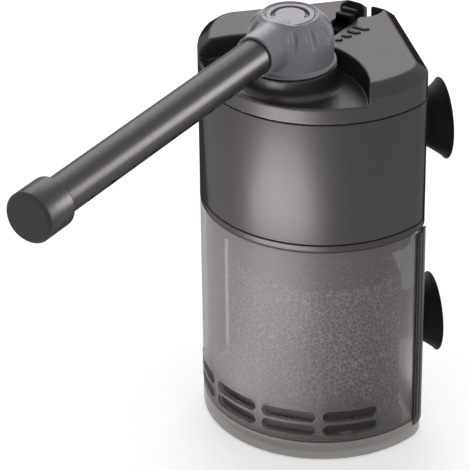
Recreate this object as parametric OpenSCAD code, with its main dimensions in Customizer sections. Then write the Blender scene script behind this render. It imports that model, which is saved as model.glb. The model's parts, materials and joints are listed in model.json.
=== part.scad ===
// Corner canister filter for an aquarium: a clear lower canister with a sponge, and a motor head
// with a swivelling outlet and a spray bar.
// +Z is up, +Y points into the corner of the tank and the spray bar runs along -Y.
// The origin lies on the base, on the axis of the rounded front wall.

/* [Body outline] */
// Radius of the rounded front wall
body_r = 46; // [42:0.5:60]
// Distance from the axis to each of the two rear flats
flat_d = 31.6; // [29:0.2:34]
// Distance from the axis to the narrow back face
back_d = 35.2; // [33:0.2:37]
// Radius of the corners between the front wall and the flats
shoulder_r = 13; // [8:0.5:16]
// Radius of the corners between the flats and the back face
back_corner_r = 5; // [4.5:0.5:7]

/* [Heights] */
// Height of the base cap
base_h = 8; // [7:0.5:14]
// Height of the clear canister above the base cap
canister_h = 82.6; // [76:0.2:120]
// Height of the collar between canister and motor housing
collar_h = 2.9; // [2.4:0.1:5]
// Height of the motor housing
housing_h = 49.1; // [48:0.1:60]
// Height of the lid's low front rim
rim_h = 6.6; // [6:0.1:8]
// Height of the lid's straight side
lid_side_h = 9.6; // [9:0.1:12]
// Rise of the sloping edge round the lid's top
lid_slope_h = 3.5; // [2:0.1:5]
// Width of the sloping edge round the lid's top
lid_slope_w = 4.4; // [2:0.1:4.8]

/* [Walls] */
// Wall of the clear canister
canister_wall = 2; // [1.6:0.1:2.6]
// Wall of the motor housing
housing_wall = 2.2; // [1.8:0.1:2.8]
// Wall of the lid
lid_wall = 2; // [1.6:0.1:2.4]
// Floor of the base cap
floor_t = 2.4; // [1.8:0.1:3]
// Depth of the shadow groove at each seam
seam_in = 0.5; // [0.2:0.1:0.8]
// Height of the shadow groove at each seam
seam_h = 0.4; // [0.2:0.1:0.6]

/* [Intake slots] */
// Height of one intake slot
slot_h = 4.8; // [3:0.1:5.4]
// Web between the two rows of slots
slot_web = 1.2; // [1:0.1:3]
// Height of the web's middle above the table
slot_mid_z = 16.2; // [15:0.1:26]
// Angle between the slots' centres nearest the front
slot_pitch = 30; // [28:1:31]
// Angle that one slot spans
slot_span = 27.4; // [20:0.2:28]

/* [Outlet] */
// Distance from the body's axis to the outlet's axis
outlet_y = 22.9; // [22.4:0.1:24]
// Radius of the outlet knob
knob_r = 15.7; // [14:0.1:16]
// Height of the outlet knob
knob_h = 18.3; // [17.6:0.1:22]
// Outer radius of the spout at its mouth
spout_r = 7.7; // [7.5:0.1:8.2]
// Distance from the outlet's axis to the spout's mouth
spout_len = 23.9; // [21:0.1:30]
// Number of grip flutes round the knob
flute_count = 11; // [5:1:11]

/* [Spray bar] */
// Outer radius of the spray bar
bar_r = 6.8; // [6:0.1:6.9]
// Wall of the spray bar
bar_wall = 1.5; // [1:0.1:2]
// Distance from the outlet's axis to the end cap's face
bar_reach = 157.5; // [150:0.5:260]
// Number of spray holes
hole_count = 9; // [3:1:10]
// Distance from one spray hole to the next
hole_pitch = 11.8; // [8:0.1:12]
// Distance from the outlet's axis to the first spray hole
hole_start = 36.4; // [30:0.1:38]
// Radius of a spray hole
hole_r = 1.5; // [1:0.1:2]
// Angle of the spray holes below the level
hole_tilt = 34; // [20:1:70]
// Outer radius of the end cap
end_cap_r = 9; // [8.2:0.1:10]
// Length of the end cap
end_cap_len = 13.8; // [10:0.1:18]

/* [Flow control] */
// Half the width of the lever's slot
slot_half = 3.4; // [3:0.1:4]
// Travel of the flow lever
lever_travel = 12.4; // [8:0.2:12.6]
// Number of flow marks beside the slot
mark_count = 4; // [2:1:4]
// Distance from one flow mark to the next
mark_pitch = 4.2; // [3:0.1:4.4]

/* [Suction cups] */
// Radius of a suction cup
cup_r = 15.3; // [14:0.1:20]
// Depth of a suction cup
cup_depth = 9.7; // [8:0.1:14]
// Height of the lower suction cups
cup_low_z = 38; // [32:1:60]
// Height of the upper suction cups
cup_high_z = 121.5; // [116:0.5:122]
// Distance of the cups from the middle of a flat, towards the front
cup_shift = 9.7; // [6:0.1:12]
// How far the canister's flats lie behind those of the motor housing
flat_recess = 3.3; // [2:0.1:3.6]

/* [Pump] */
// Distance from the body's axis to the pump's axis, towards the front
pump_y = 1; // [0.6:0.1:1.2]
// Radius of the rotor magnet
magnet_r = 8; // [6:0.1:8.2]
// Height of the rotor magnet
magnet_h = 22; // [18:0.5:23]
// Radius of the rotor's shaft
shaft_r = 1.5; // [1:0.1:2]
// Radius of the impeller
impeller_r = 12.5; // [10:0.1:13]
// Number of impeller blades
blade_count = 6; // [3:1:8]
// Height of the laminated stator core
core_h = 15; // [10:0.5:16]

/* [Filter sponge] */
// Height of the sponge
sponge_h = 60.2; // [40:0.2:62]
// Gap between the sponge and the canister's round front wall
sponge_gap = 8; // [3:0.5:12]
// Gap between the sponge and the canister's flats
sponge_flat_gap = 2; // [1.8:0.1:4]
// Outer radius of the inlet strainer inside the sponge
strainer_r = 8.5; // [7.5:0.1:9]
// Length of the inlet strainer
strainer_len = 62; // [40:0.5:66]

/* [Fits] */
// Radial clearance of a running or push fit
run_gap = 0.05; // [0.02:0.01:0.1]
// Gap between pieces that are laid together in one body
seat_gap = 0.15; // [0.1:0.01:0.2]
// Gap between pieces that move past each other
move_gap = 0.3; // [0.25:0.01:0.4]

/* [Hidden] */
$fn = 64;
small_fn = 32;
eps = 0.01;
// Longer than any cut has to pass
reach = 4 * body_r;

// Levels, from the table upwards
canister_z = base_h;
collar_z = canister_z + canister_h;
housing_z = collar_z + collar_h;
lid_z = housing_z + housing_h;
rim_z = lid_z + rim_h;
crease_z = lid_z + lid_side_h;
top_z = crease_z + lid_slope_h;

// Plan geometry. Angles are measured from the front (-Y) towards +X.
arc_step = 3;
front = [0, 0];
flat_angle = 135;

function heading(a) = [sin(a), -cos(a)];
function arc(centre, r, a0, a1) =
    let (n = max(1, ceil((a1 - a0) / arc_step)))
    [for (i = [0 : n]) centre + r * heading(a0 + (a1 - a0) * i / n)];
function shoulder_angle(r, d, s) = flat_angle - acos((d - s) / (r - s));
function right_half(r, d, b, s, k) =
    let (a = shoulder_angle(r, d, s))
    concat(
        arc(front, r, 0, a),
        arc((r - s) * heading(a), s, a, flat_angle),
        arc([(d - k) * sqrt(2) - (b - k), b - k], k, flat_angle, 180)
    );
function mirrored(points) =
    let (last = len(points) - 1)
    [for (i = [last : -1 : 1]) [-points[i][0], points[i][1]]];
function whole(points) = concat(points, mirrored(points));
// The body's outline moved inwards, with the flats moved further by flat_in
function outline(inset, flat_in = 0) =
    whole(right_half(
        body_r - inset,
        flat_d - flat_in - inset,
        back_d - flat_in - inset,
        max(shoulder_r - inset, 1.5),
        max(back_corner_r - inset, 0.6)
    ));

// Canister, base and sponge
canister_in = flat_recess + canister_wall;
ledge_h = 1.2;
lip_wall = 1.3;
lip_drop = 3;
base_chamfer = 0.5;
rib_pitch = 18;
rib_half = 1;
rib_front_gap = 20;
rib_back_gap = 18.4;
grid_t = 2;
grid_z = canister_z - grid_t - move_gap;
sponge_z = grid_z + grid_t + move_gap;
sponge_inset = canister_wall + sponge_gap;
sponge_flat_in = flat_recess + sponge_flat_gap - sponge_gap;

// Corner rails of the canister
rail_in = 1;
rail_out = 0.6;
rail_groove_r = 0.55;
rail_groove_at = 89;
rail_from = 80;
rail_back = 32;

// Head plate, pump chamber and strainer
spigot_h = 6;
spigot_wall = 2;
seal_h = 2.4;
seal_t = 1.4;
plate_lip_h = 3;
chamber_h = 12.2;
chamber_top = housing_z + chamber_h;
chamber_gap = 3;
chamber_wall = 1.6;
chamber_r = impeller_r + chamber_gap;
channel_half = 6;
inlet_r = 7.1;
strainer_z = collar_z - strainer_len;
socket_wall = 1.7;

// Rotor and its bearings
bush_r = 3.2;
bush_flange_h = 1.1;
spider_hub_r = 4.6;
spider_arm = 1.8;
impeller_z = housing_z + 1.9;
blade_h = 9;
blade_t = 1.2;
hub_r = 4.2;
case_floor_t = 2.2;
case_wall = 1.6;
case_z = chamber_top;
case_floor_top = case_z + case_floor_t;
cover_t = 1.8;
cover_gap = 0.7;
case_inset = housing_wall + 0.6;
case_riser_gap = 1.5;
well_gap = 0.6;
well_wall = 1;
well_r = magnet_r + well_gap;
well_out = well_r + well_wall;
magnet_z = case_floor_top + 1.6;
upper_bush_z = magnet_z + magnet_h + 0.8;
upper_bush_h = 2.2;
well_top = upper_bush_z + upper_bush_h;
case_h = well_top + well_wall + cover_gap + cover_t - case_z;
shaft_z = housing_z - 1.9;
shaft_top = well_top - 0.3;

// Stator
core_z = magnet_z + magnet_h / 2 - core_h / 2;
core_gap = 0.15;
pole_r = well_out + core_gap;
leg_w = 5.6;
coil_len = 6.2;
yoke_w = 4.6;
pole_front = -8;
coil_start = pole_r + 0.2;
yoke_start = coil_start + coil_len + 0.2;
leg_mid = pole_r + leg_w / 2;
bobbin_wall = 0.7;
bobbin_gap = 0.1;
winding_t = 3;
flange_t = 0.8;
bobbin_out = pole_r + leg_w + bobbin_gap + bobbin_wall + winding_t;
stator_gap = 0.6;

// Riser and its flange
riser_bore = 6.65;
riser_r = 9;
riser_top = crease_z;
riser_flange_t = 2;
riser_flange_half = 12;
case_front = outlet_y - riser_r - case_riser_gap;
stem_r = riser_bore - run_gap;
stem_z = lid_z + 0.6;
ring_r = 0.6;
ring_z = stem_z + 4.4;
ring_bed_r = riser_bore - 2 * ring_r - 2 * run_gap;

// Outlet knob
knob_z = top_z - 0.2;
knob_straight = 7.4;
knob_flange_r = knob_r + 0.9;
knob_ring_r = 9.2;
knob_dome_r = knob_ring_r - 0.2;
dome_step = 7.5;
water_r = 4.6;
axis_z = knob_z + 11.2;
bar_fit_r = bar_r + run_gap;
socket_depth = 9.6;
knob_cap_r = 7.1;
knob_cap_t = 1.4;
flute_r = 2.2;
flute_cut = 0.7;
flute_theta = 35;
flute_free = 72;

// Lid
recess_y = 44.8;
recess_r = 39.4;
recess_z = rim_z - 1.8;
boss_r = knob_flange_r + 0.4;
boss_top = knob_z - move_gap;
boss_foot_r = boss_r + 6;
boss_slope_h = 3.1;
rim_w = 1.5;
notch_y = 27.8;
notch_r = 7.9;
notch_back = back_d - lid_slope_w + 0.1;
notch_wall = 1.5;
notch_floor = lid_z + 2;
slit_half = 1.5;
cavity_in = lid_wall + lid_slope_w;
lid_lip_h = 3;
lid_lip_wall = 1.2;

// Flow lever and gate
lever_front = 13.8;
lever_back = 19.3;
lever_half = slot_half - 0.25;
lever_rise = 3.3;
carriage_half = 5;
carriage_front = recess_r - recess_y + lid_wall + lever_travel + 2 * move_gap;
carriage_back = 18;
carriage_t = 1.8;
carriage_top = top_z - lid_wall - move_gap;
gate_t = 1.2;
gate_z = case_z + case_h + 1.4;
gate_half = 4.4;
gate_front = -outlet_y + riser_bore + 1.2;
gate_back = 17.6;
slot_front = lever_front - lever_travel - 0.5;
mark_x = 5.9;
mark_y = 11.6;
mark_w = 0.7;
mark_deep = 0.4;
mark_hook = 1.6;

// Cable gland
gland_y = 24.5;
gland_r = 3.8;
gland_low_r = 3.4;
gland_bore = 2.6;
gland_bore_h = 10;
gland_top = notch_floor + 5.4;

// Suction cups and holders
holder_r = 9.5;
high_holder_t = 2;
low_holder_t = 3.5;
holder_stub_r = 3.9;
cup_neck_r = 8.7;
cup_stub_r = 3;
cup_stub_h = 1.4;
cup_lip = 0.5;
cup_rim_w = 1.25;

// Pump screws
screw_r = 1.15;
screw_head_r = 2.8;
screw_head_h = 1.8;
screw_len = 10;
post_r = 3.2;
screw_room = 1;
screw_in = case_inset + case_wall + screw_head_r + screw_room;
screw_front = [bobbin_out + screw_head_r + 2 * screw_room, -5];
screw_back = [(flat_d - screw_in) * sqrt(2) - (back_d - screw_in), back_d - screw_in];

housing_color = [0.24, 0.23, 0.22];
knob_color = [0.5, 0.5, 0.53];
clear_color = [0.55, 0.54, 0.52, 0.45];
rubber_color = [0.08, 0.08, 0.075];
sponge_color = [0.42, 0.41, 0.39];
white_color = [0.85, 0.85, 0.82];
steel_color = [0.6, 0.6, 0.62];
copper_color = [0.72, 0.38, 0.18];

// Helpers

module prism(points, z0, z1) {
    translate([0, 0, z0]) linear_extrude(z1 - z0) polygon(points);
}

module wall_ring(outer, inner, z0, z1) {
    translate([0, 0, z0]) linear_extrude(z1 - z0) difference() {
        polygon(outer);
        polygon(inner);
    }
}

module rod(r, z0, z1) {
    translate([0, 0, z0]) cylinder(r = r, h = z1 - z0);
}

module pipe(r_out, r_in, z0, z1) {
    translate([0, 0, z0]) linear_extrude(z1 - z0) difference() {
        circle(r_out);
        circle(r_in);
    }
}

module block(low, high) {
    translate(low) cube(high - low);
}

module at_pump() {
    translate([0, -pump_y, 0]) children();
}

module at_outlet() {
    translate([0, -outlet_y, 0]) children();
}

// Along the spray bar's axis, from the outlet's axis towards the front
module along_bar() {
    translate([0, -outlet_y, axis_z]) rotate([90, 0, 0]) children();
}

module on_side(side) {
    if (side > 0) children();
    else mirror([1, 0, 0]) children();
}

// On a rear flat at distance d, with the flat's outward normal as local +Z
module on_flat(side, d, z) {
    on_side(side) rotate([0, 0, 45]) translate([d, -cup_shift, z]) rotate([0, 90, 0]) children();
}

// Base cap, canister and sponge

module base_cap() {
    color(clear_color) difference() {
        union() {
            hull() {
                prism(outline(base_chamfer), 0, eps);
                prism(outline(0), base_chamfer, base_chamfer + eps);
            }
            prism(outline(0), base_chamfer, base_h - seam_h);
            prism(outline(seam_in), base_h - seam_h - eps, base_h);
        }
        prism(outline(canister_wall), floor_t, base_h + 1);
    }
    color(clear_color) for (x = [-rib_pitch, 0, rib_pitch])
        block([x - rib_half, rib_front_gap - body_r, floor_t],
            [x + rib_half, flat_d - rib_back_gap, grid_z]);
}

// The stretch of the right corner that the rail covers, up to rail_back from the flat's middle
module rail_zone() {
    intersection() {
        polygon([front, reach * heading(rail_from), reach * heading(flat_angle)]);
        rotate(45) translate([0, -reach]) square([reach, reach - rail_back]);
    }
}

module canister_plan() {
    difference() {
        polygon(outline(0));
        for (side = [-1, 1]) {
            on_side(side) rotate(45)
                translate([flat_d - flat_recess, -body_r]) square([body_r, 2 * body_r]);
            on_side(side) difference() {
                rail_zone();
                polygon(outline(rail_in));
            }
        }
    }
}

// A slot with round ends, cut straight through the wall at the angle of its middle
module intake_slot(mid, z) {
    half = (body_r - canister_wall / 2) * sin(slot_span / 2) - slot_h / 2;
    rotate([0, 0, mid]) translate([0, -body_r + canister_wall + 3, z]) rotate([90, 0, 0])
        linear_extrude(canister_wall + 6) polygon(concat(
            [for (a = [-90 : 15 : 90]) [half + slot_h / 2 * cos(a), slot_h / 2 * sin(a)]],
            [for (a = [90 : 15 : 270]) [-half + slot_h / 2 * cos(a), slot_h / 2 * sin(a)]]
        ));
}

module canister() {
    color(clear_color) difference() {
        union() {
            translate([0, 0, canister_z]) linear_extrude(canister_h) difference() {
                canister_plan();
                polygon(outline(canister_wall, flat_recess));
            }
            wall_ring(outline(canister_wall - eps, flat_recess),
                outline(canister_wall + seat_gap + lip_wall, flat_recess),
                canister_z, canister_z + ledge_h);
            wall_ring(outline(canister_wall + seat_gap, flat_recess),
                outline(canister_wall + seat_gap + lip_wall, flat_recess),
                canister_z - lip_drop, canister_z + eps);
        }
        for (row = [-1, 1], column = [-1.5, -0.5, 0.5, 1.5])
            intake_slot(column * slot_pitch, slot_mid_z + row * (slot_h + slot_web) / 2);
        for (side = [-1, 1])
            on_flat(side, flat_d - canister_in - 1, cup_low_z)
                cylinder(r = holder_stub_r + seat_gap, h = canister_wall + 2);
    }
}

module corner_rail(side) {
    shoulder = (body_r - shoulder_r) * heading(shoulder_angle(body_r, flat_d, shoulder_r));
    groove = shoulder + (shoulder_r + rail_out) * heading(rail_groove_at);
    color(housing_color) on_side(side)
        translate([0, 0, canister_z + ledge_h]) linear_extrude(canister_h - 2 * ledge_h) difference() {
            intersection() {
                polygon(outline(-rail_out));
                rail_zone();
            }
            canister_plan();
            for (place = [groove, (body_r + rail_out) * heading(rail_from)])
                translate(place) circle(rail_groove_r, $fn = small_fn);
        }
}

module sponge_grid() {
    hole_r = 3;
    pitch = 9;
    color(clear_color) translate([0, 0, grid_z]) linear_extrude(grid_t) difference() {
        polygon(outline(canister_wall + lip_wall + 2 * move_gap, flat_recess));
        for (i = [-3 : 3], j = [-3 : 2])
            translate([i * pitch, j * pitch]) circle(hole_r, $fn = small_fn);
    }
}

module filter_sponge() {
    color(sponge_color) translate([0, 0, sponge_z]) linear_extrude(sponge_h) difference() {
        polygon(outline(sponge_inset, sponge_flat_in));
        translate([0, -pump_y]) circle(strainer_r + 2 * move_gap);
    }
}

// Motor head

module chamber_plan(grow) {
    translate([0, -pump_y]) circle(chamber_r + grow);
    translate([0, -outlet_y]) circle(riser_bore + 1.4 + grow);
    translate([-channel_half - grow, -outlet_y]) square([2 * (channel_half + grow), outlet_y - 10]);
}

module screw_spots() {
    for (side = [-1, 1], place = [screw_front, screw_back])
        translate([side * place[0], place[1], 0]) children();
}

module head_plate() {
    color(housing_color) difference() {
        union() {
            prism(outline(seam_in), collar_z, collar_z + seam_h + eps);
            prism(outline(0), collar_z + seam_h, housing_z);
            wall_ring(outline(canister_wall + move_gap, flat_recess),
                outline(canister_wall + move_gap + spigot_wall, flat_recess),
                collar_z - spigot_h, collar_z + eps);
            wall_ring(outline(housing_wall + seat_gap),
                outline(housing_wall + seat_gap + 1.3),
                housing_z - eps, housing_z + plate_lip_h);
            translate([0, 0, housing_z - eps]) linear_extrude(chamber_h + eps) difference() {
                chamber_plan(chamber_wall);
                chamber_plan(0);
            }
            at_pump() pipe(strainer_r + seat_gap + socket_wall, strainer_r + seat_gap,
                collar_z - spigot_h, collar_z + eps);
            screw_spots() pipe(post_r, screw_r + run_gap, housing_z - eps, chamber_top);
        }
        wall_ring(outline(canister_wall - 1), outline(canister_wall + move_gap + seal_t / 2, flat_recess),
            collar_z - spigot_h / 2 - seal_h / 2, collar_z - spigot_h / 2 + seal_h / 2);
        at_pump() difference() {
            rod(inlet_r, collar_z - 1, housing_z + 1);
            rod(spider_hub_r, collar_z - 2, housing_z + 2);
            for (a = [90, 210, 330])
                rotate([0, 0, a]) block([0, -spider_arm / 2, collar_z - 2],
                    [inlet_r + 1, spider_arm / 2, housing_z + 2]);
        }
        at_pump() rod(bush_r + run_gap, collar_z + 0.6, housing_z + 1);
    }
}

module head_seal() {
    color(rubber_color) wall_ring(
        outline(canister_wall + seat_gap, flat_recess),
        outline(canister_wall + move_gap + seal_t / 2 - seat_gap / 2, flat_recess),
        collar_z - spigot_h / 2 - seal_h / 2 + seat_gap, collar_z - spigot_h / 2 + seal_h / 2 - seat_gap
    );
}

module inlet_strainer() {
    rows = 5;
    slit_h = 7;
    pitch = 10.5;
    color(housing_color) at_pump() difference() {
        union() {
            pipe(strainer_r, inlet_r, strainer_z, collar_z);
            rod(strainer_r, strainer_z, strainer_z + 1.8);
        }
        for (k = [0 : rows - 1], a = [0 : 45 : 135])
            rotate([0, 0, a]) block([-strainer_r - 1, -1.2, strainer_z + 4 + k * pitch],
                [strainer_r + 1, 1.2, strainer_z + 4 + k * pitch + slit_h]);
    }
}

module motor_housing() {
    color(housing_color) difference() {
        union() {
            prism(outline(seam_in), housing_z, housing_z + seam_h + eps);
            prism(outline(0), housing_z + seam_h, lid_z);
        }
        prism(outline(housing_wall), housing_z - 1, lid_z + 1);
        for (side = [-1, 1])
            on_flat(side, flat_d - housing_wall - 1, cup_high_z)
                cylinder(r = holder_stub_r + seat_gap, h = housing_wall + 2);
    }
}

module lid_blank() {
    prism(outline(seam_in), lid_z, lid_z + seam_h + eps);
    prism(outline(0), lid_z + seam_h, crease_z);
    hull() {
        prism(outline(0), crease_z - eps, crease_z);
        prism(outline(lid_slope_w), top_z - eps, top_z);
    }
}

module recess_plan(grow) {
    translate([0, -recess_y]) circle(recess_r + grow, $fn = 128);
}

module recess_cut() {
    translate([0, 0, rim_z]) linear_extrude(top_z - rim_z + 1) recess_plan(0);
    translate([0, 0, recess_z]) linear_extrude(rim_z - recess_z + 1) intersection() {
        recess_plan(0);
        polygon(outline(rim_w));
    }
}

module lid_cavity() {
    translate([0, 0, lid_z - 1]) linear_extrude(recess_z - lid_wall - lid_z + 1) polygon(outline(lid_wall));
    translate([0, 0, recess_z - lid_wall - eps])
        linear_extrude(crease_z - lid_wall - recess_z + lid_wall + eps) difference() {
            polygon(outline(lid_wall));
            recess_plan(lid_wall);
        }
    translate([0, 0, crease_z - lid_wall])
        linear_extrude(top_z - crease_z) difference() {
            polygon(outline(cavity_in));
            recess_plan(lid_wall);
        }
}

module notch_plan(grow) {
    intersection() {
        translate([0, notch_y]) circle(notch_r + grow);
        translate([-body_r, 0]) square([2 * body_r, notch_back + grow]);
    }
}

// The wall and floor round the cable's notch, kept inside the lid's outer surface
module notch_shell(inset, z0, z1) {
    translate([0, 0, z0]) linear_extrude(z1 - z0) intersection() {
        notch_plan(notch_wall);
        polygon(outline(inset));
    }
}

module flow_marks() {
    for (i = [0 : mark_count - 1]) {
        length = 5.1 - i * 1.25;
        y = mark_y - i * mark_pitch;
        block([mark_x, y - mark_w / 2, top_z - mark_deep], [mark_x + length, y + mark_w / 2, top_z + 1]);
        block([mark_x + length - mark_w, y - mark_w / 2, top_z - mark_deep],
            [mark_x + length, y + mark_hook, top_z + 1]);
    }
}

module lid() {
    color(housing_color) difference() {
        union() {
            difference() {
                lid_blank();
                recess_cut();
                lid_cavity();
            }
            intersection() {
                at_outlet() union() {
                    rod(boss_r, recess_z - lid_wall, boss_top);
                    translate([0, 0, recess_z - eps])
                        cylinder(r1 = boss_foot_r, r2 = boss_r, h = boss_slope_h);
                }
                translate([0, 0, lid_z]) linear_extrude(top_z - lid_z) intersection() {
                    polygon(outline(rim_w - eps));
                    recess_plan(lid_wall / 2);
                }
            }
            notch_shell(lid_wall - eps, notch_floor - notch_wall, crease_z);
            notch_shell(lid_slope_w, crease_z - 1, top_z - lid_wall + eps);
            wall_ring(outline(housing_wall + seat_gap), outline(housing_wall + seat_gap + lid_lip_wall),
                lid_z - lid_lip_h, lid_z + 1);
        }
        translate([0, 0, notch_floor]) linear_extrude(reach) notch_plan(0);
        translate([0, gland_y, 0]) rod(gland_r + seat_gap, lid_z - 1, notch_floor + 1);
        block([-slit_half, notch_back - 1, notch_floor], [slit_half, back_d + 1, top_z + 1]);
        block([-slot_half, slot_front, carriage_top - carriage_t - move_gap],
            [slot_half, notch_y, top_z + 1]);
        at_outlet() rod(riser_r + seat_gap, lid_z - 1, top_z);
        at_outlet() pipe(boss_r - lid_wall, riser_r + seat_gap + lid_wall, lid_z, boss_top - lid_wall);
        flow_marks();
    }
}

module outlet_duct() {
    color(housing_color) difference() {
        union() {
            at_outlet() rod(riser_r, chamber_top, riser_top);
            at_outlet() rod(riser_bore + 1.4 + chamber_wall, chamber_top, chamber_top + riser_flange_t);
            block([-riser_flange_half, -outlet_y, chamber_top],
                [riser_flange_half, -case_front - move_gap, chamber_top + riser_flange_t]);
        }
        at_outlet() rod(riser_bore, chamber_top - 1, riser_top + 1);
        block([-gate_half - move_gap, -outlet_y, gate_z - move_gap],
            [gate_half + move_gap, 0, gate_z + gate_t + move_gap]);
    }
}

module case_plan(inset) {
    intersection() {
        polygon(outline(inset));
        translate([-body_r, -case_front + inset - case_inset]) square([2 * body_r, 2 * body_r]);
    }
}

module motor_case() {
    color(white_color) difference() {
        union() {
            translate([0, 0, case_z]) linear_extrude(case_h) difference() {
                case_plan(case_inset);
                case_plan(case_inset + case_wall);
            }
            translate([0, 0, case_z]) linear_extrude(case_floor_t) case_plan(case_inset);
            at_pump() rod(well_out, case_z, well_top + well_wall);
            for (side = [-1, 1], y = [pole_front + 3, yoke_start + yoke_w / 2])
                translate([side * leg_mid, y - pump_y, 0]) rod(1.8, case_floor_top - eps, core_z - core_gap);
        }
        at_pump() rod(well_r, case_z - 1, well_top);
        screw_spots() rod(screw_r + seat_gap, case_z - 1, case_floor_top + 1);
    }
}

module motor_cover() {
    color(housing_color) difference() {
        translate([0, 0, case_z + case_h - cover_t]) linear_extrude(cover_t)
            case_plan(case_inset + case_wall + seat_gap);
        translate([0, gland_y, 0]) rod(gland_low_r + seat_gap, case_z, top_z);
    }
}

// What of the stator reaches towards the case's walls is cut back to a clearance
module in_case() {
    intersection() {
        children();
        translate([0, 0, case_z]) linear_extrude(case_h) case_plan(case_inset + case_wall + stator_gap);
    }
}

module core_plan() {
    translate([0, -pump_y]) difference() {
        translate([-pole_r - leg_w, pole_front])
            square([2 * (pole_r + leg_w), yoke_start + yoke_w - pole_front]);
        circle(pole_r);
        translate([-pole_r + 1.2, pole_front - 1]) square([2 * pole_r - 2.4, 3]);
        translate([-pole_r, 0]) square([2 * pole_r, yoke_start]);
    }
}

module stator_core() {
    color(steel_color) in_case() translate([0, 0, core_z]) linear_extrude(core_h) core_plan();
}

// A square sleeve round one leg of the core, from y0 to y1 along the leg
module leg_sleeve(inner, outer, y0, y1) {
    for (side = [-1, 1])
        translate([side * leg_mid, -pump_y, core_z + core_h / 2]) difference() {
            block([-leg_w / 2 - outer, y0, -core_h / 2 - outer], [leg_w / 2 + outer, y1, core_h / 2 + outer]);
            block([-leg_w / 2 - inner, y0 - 1, -core_h / 2 - inner],
                [leg_w / 2 + inner, y1 + 1, core_h / 2 + inner]);
        }
}

module coil_bobbins() {
    tube = bobbin_gap + bobbin_wall;
    flange = tube + winding_t;
    color(white_color) in_case() {
        leg_sleeve(bobbin_gap, tube, coil_start, coil_start + coil_len);
        leg_sleeve(bobbin_gap, flange, coil_start, coil_start + flange_t);
        leg_sleeve(bobbin_gap, flange, coil_start + coil_len - flange_t, coil_start + coil_len);
    }
}

module stator_coils() {
    inner = 2 * bobbin_gap + bobbin_wall;
    color(copper_color) leg_sleeve(inner, inner + winding_t - 0.4,
        coil_start + flange_t + bobbin_gap, coil_start + coil_len - flange_t - bobbin_gap);
}

module rotor_shaft() {
    color(white_color) at_pump() rod(shaft_r, shaft_z, shaft_top);
}

module lower_bush() {
    color(rubber_color) at_pump() difference() {
        union() {
            rod(bush_r, shaft_z - 0.4, housing_z + bush_flange_h);
            rod(bush_r + 0.9, housing_z, housing_z + bush_flange_h);
        }
        rod(shaft_r + run_gap, shaft_z, housing_z + 3);
    }
}

module upper_bush() {
    color(rubber_color) at_pump()
        pipe(well_r - run_gap, shaft_r + run_gap, upper_bush_z, upper_bush_z + upper_bush_h);
}

module rotor_magnet() {
    color([0.16, 0.16, 0.17]) at_pump() pipe(magnet_r, shaft_r + run_gap, magnet_z, magnet_z + magnet_h);
}

module impeller() {
    color(white_color) at_pump() difference() {
        union() {
            rod(hub_r, impeller_z, magnet_z);
            for (k = [0 : blade_count - 1])
                rotate([0, 0, k * 360 / blade_count])
                    block([0, -blade_t / 2, impeller_z], [impeller_r, blade_t / 2, impeller_z + blade_h]);
        }
        rod(shaft_r + run_gap, impeller_z - 1, magnet_z + 1);
    }
}

module pump_screws() {
    color(steel_color) screw_spots() {
        rod(screw_r, case_floor_top - screw_len, case_floor_top + eps);
        difference() {
            rod(screw_head_r, case_floor_top, case_floor_top + screw_head_h);
            block([-0.5, -2, case_floor_top + 0.8], [0.5, 2, case_floor_top + 3]);
            block([-2, -0.5, case_floor_top + 0.8], [2, 0.5, case_floor_top + 3]);
        }
    }
}

module cable_gland() {
    low = case_z + case_h - cover_t;
    color(rubber_color) translate([0, gland_y, 0]) difference() {
        union() {
            rod(gland_low_r, low, notch_floor);
            rod(gland_r, lid_z, gland_top);
        }
        rod(gland_bore, gland_top - gland_bore_h, gland_top + 1);
    }
}

// Outlet

function knob_profile() =
    let (rise = knob_h - knob_straight - 0.3)
    concat(
        [[0, 0], [knob_flange_r, 0], [knob_flange_r, 0.7], [knob_r + 0.15, 1.2], [knob_r, 1.6]],
        [for (t = [0 : dome_step : 90 - dome_step])
            [knob_dome_r + (knob_r - knob_dome_r) * cos(t), knob_straight + rise * sin(t)]],
        [[knob_ring_r + 0.4, knob_h], [knob_ring_r - 0.3, knob_h], [knob_ring_r - 0.5, knob_h - 0.9],
            [knob_cap_r + 0.25, knob_h - 0.9], [knob_cap_r + 0.25, knob_h - knob_cap_t],
            [0, knob_h - knob_cap_t]]
    );

module knob_flute() {
    rise = knob_h - knob_straight - 0.3;
    swell = knob_r - knob_dome_r;
    normal = atan2(sin(flute_theta) / rise, cos(flute_theta) / swell);
    foot = [knob_dome_r + swell * cos(flute_theta), knob_straight + rise * sin(flute_theta)];
    middle = foot + (flute_r - flute_cut) * [cos(normal), sin(normal)];
    translate([middle[0], 0, middle[1]]) rotate([0, -normal, 0])
        cylinder(r = flute_r, h = 2 * knob_h, center = true, $fn = small_fn);
}

module outlet_knob() {
    color(knob_color) difference() {
        union() {
            at_outlet() translate([0, 0, knob_z]) difference() {
                rotate_extrude() polygon(knob_profile());
                for (i = [0 : flute_count - 1])
                    rotate([0, 0, -90 + flute_free / 2 + i * (360 - flute_free) / max(1, flute_count - 1)])
                        knob_flute();
            }
            at_outlet() rod(stem_r, stem_z, knob_z + 1);
            along_bar() translate([0, 0, knob_ring_r - 1])
                cylinder(r1 = spout_r + 0.4, r2 = spout_r, h = spout_len - knob_ring_r + 1);
        }
        at_outlet() rod(water_r, stem_z - 1, axis_z + water_r - 0.6);
        along_bar() rod(water_r, 0, spout_len + 1);
        along_bar() rod(bar_fit_r, spout_len - socket_depth, spout_len + 1);
        at_outlet() pipe(riser_bore + 1, ring_bed_r, ring_z - ring_r - run_gap, ring_z + ring_r + run_gap);
    }
}

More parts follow.
